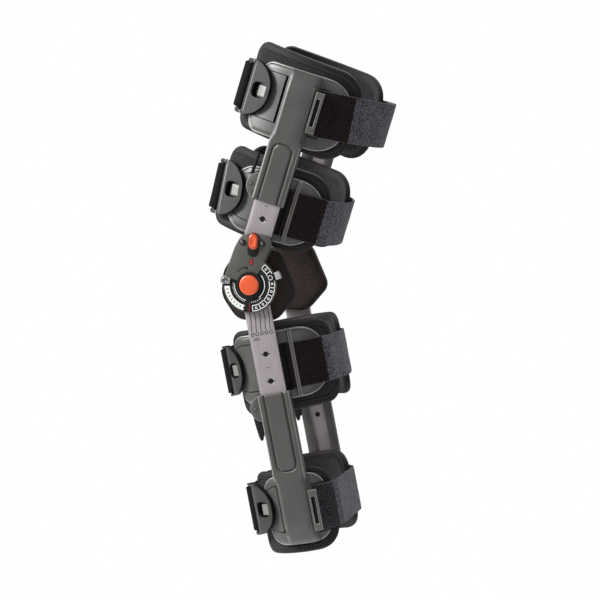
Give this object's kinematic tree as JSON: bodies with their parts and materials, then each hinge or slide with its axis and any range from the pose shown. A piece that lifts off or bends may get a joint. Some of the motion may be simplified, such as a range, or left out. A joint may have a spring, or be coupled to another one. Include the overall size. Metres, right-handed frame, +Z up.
{
  "type": "post-op knee brace",
  "caption": "Hinged post-operative knee brace: side bars with a range-of-motion dial, telescoping shells, padded cuffs, clip-on front straps and hook-and-loop rear straps",
  "frame": {"origin": "in the middle of the knee, on the common axis of the two hinges, where the leg carries the brace", "axes": "+Z up, +X to the back of the leg, -Y to the outer (lateral) side, so the hinge axis is Y"},
  "size_m": [0.1998, 0.1722, 0.5418],
  "materials": {
    "bar": "satin anodised",
    "shell": "matte grey moulded nylon",
    "housing": "matte dark grey moulded nylon",
    "orange": "gloss orange plastic",
    "stop": "bright metal",
    "rivet": "dark rivet head",
    "pad": "black loop-faced foam with bound edge",
    "loop_strap": "charcoal loop-pile strap with a smooth hook tab",
    "webbing": "black webbing"
  },
  "bodies": {
    "thigh": {"thigh_bar_lateral": "bar", "thigh_bar_medial": "bar", "hinge_cover_lateral": "housing", "hinge_cover_medial": "housing", "hinge_back_plate_lateral": "housing", "hinge_back_plate_medial": "housing", "hinge_cap_lateral": "orange", "hinge_cap_medial": "orange", "hinge_rivet_front_lateral": "rivet", "hinge_rivet_front_medial": "rivet", "hinge_rivet_rear_lateral": "rivet", "hinge_rivet_rear_medial": "rivet", "condyle_pad_lateral": "pad", "condyle_pad_medial": "pad", "thigh_lower_shell_lateral": "shell", "thigh_lower_shell_medial": "shell", "thigh_lower_pad_lateral": "pad", "thigh_lower_pad_medial": "pad", "thigh_lower_clip_lateral": "shell", "thigh_lower_clip_medial": "shell", "thigh_lower_rear_strap": "loop_strap", "thigh_lower_front_strap": "webbing"},
    "thigh_end": {"thigh_upper_shell_lateral": "shell", "thigh_upper_shell_medial": "shell", "thigh_upper_pad_lateral": "pad", "thigh_upper_pad_medial": "pad", "thigh_upper_clip_lateral": "shell", "thigh_upper_clip_medial": "shell", "thigh_upper_rear_strap": "loop_strap", "thigh_upper_front_strap": "webbing"},
    "calf": {"calf_bar_lateral": "bar", "calf_bar_medial": "bar", "calf_upper_shell_lateral": "shell", "calf_upper_shell_medial": "shell", "calf_upper_pad_lateral": "pad", "calf_upper_pad_medial": "pad", "calf_upper_clip_lateral": "shell", "calf_upper_clip_medial": "shell", "calf_upper_rear_strap": "loop_strap", "calf_upper_front_strap": "webbing"},
    "calf_end": {"calf_lower_shell_lateral": "shell", "calf_lower_shell_medial": "shell", "calf_lower_pad_lateral": "pad", "calf_lower_pad_medial": "pad", "calf_lower_clip_lateral": "shell", "calf_lower_clip_medial": "shell", "calf_lower_rear_strap": "loop_strap", "calf_lower_front_strap": "webbing"},
    "lock_lateral": {"lock_slider_lateral": "orange"},
    "extension_stop_lateral": {"extension_stop_lateral": "stop"},
    "flexion_stop_lateral": {"flexion_stop_lateral": "stop"},
    "lock_medial": {"lock_slider_medial": "orange"},
    "extension_stop_medial": {"extension_stop_medial": "stop"},
    "flexion_stop_medial": {"flexion_stop_medial": "stop"}
  },
  "joints": [
    {"name": "knee_flexion", "type": "hinge", "parent": "thigh", "child": "calf", "pos_m": [0, 0, 0], "axis": [0, -1, 0], "range_deg": [-38, 60]},
    {"name": "thigh_length", "type": "slide", "parent": "thigh", "child": "thigh_end", "axis": [0.2965, 0, 0.955], "range_m": [-0.012, 0.08]},
    {"name": "calf_length", "type": "slide", "parent": "calf", "child": "calf_end", "axis": [0.1942, 0, -0.981], "range_m": [-0.058, 0.06]},
    {"name": "lock_lateral_slide", "type": "slide", "parent": "thigh", "child": "lock_lateral", "axis": [-0.0567, 0, -0.9984], "range_m": [0, 0.0055]},
    {"name": "extension_stop_lateral_turn", "type": "hinge", "parent": "thigh", "child": "extension_stop_lateral", "pos_m": [0, 0, 0], "axis": [0, -1, 0], "range_deg": [-9, 78]},
    {"name": "flexion_stop_lateral_turn", "type": "hinge", "parent": "thigh", "child": "flexion_stop_lateral", "pos_m": [0, 0, 0], "axis": [0, -1, 0], "range_deg": [-90, 19]},
    {"name": "lock_medial_slide", "type": "slide", "parent": "thigh", "child": "lock_medial", "axis": [-0.0567, 0, -0.9984], "range_m": [0, 0.0055]},
    {"name": "extension_stop_medial_turn", "type": "hinge", "parent": "thigh", "child": "extension_stop_medial", "pos_m": [0, 0, 0], "axis": [0, -1, 0], "range_deg": [-9, 78]},
    {"name": "flexion_stop_medial_turn", "type": "hinge", "parent": "thigh", "child": "flexion_stop_medial", "pos_m": [0, 0, 0], "axis": [0, -1, 0], "range_deg": [-90, 19]}
  ]
}
